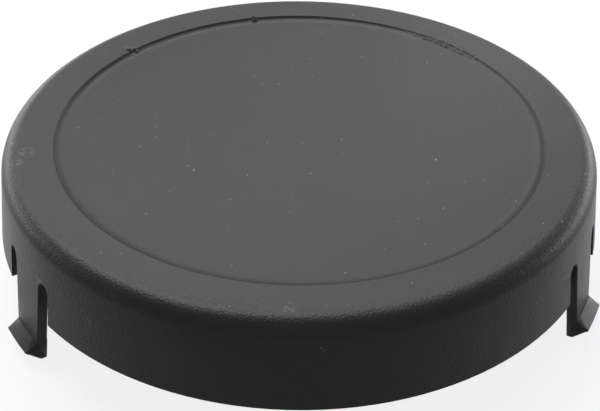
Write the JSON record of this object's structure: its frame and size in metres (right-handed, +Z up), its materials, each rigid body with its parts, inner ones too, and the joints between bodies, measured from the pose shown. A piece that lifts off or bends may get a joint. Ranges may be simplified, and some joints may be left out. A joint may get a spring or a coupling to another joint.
{
  "type": "plastic hole plug",
  "caption": "Round snap-in plastic hole plug: a shallow textured cap with a sunk centre and slotted tongues that end in barbs.",
  "frame": {"origin": "on the axis of the cap, level with the open edge of its skirt, which sits on the panel round the hole", "axes": "+Z up the axis, out of the panel; the first tongue lies on +Y and the other two 120 degrees either way, so -Y faces between two tongues"},
  "size_m": [0.0618, 0.0635, 0.0144],
  "materials": {
    "black_plastic": "fine spark-eroded grain, dusty"
  },
  "bodies": {
    "root": {"hole_plug": "black_plastic"}
  },
  "joints": []
}
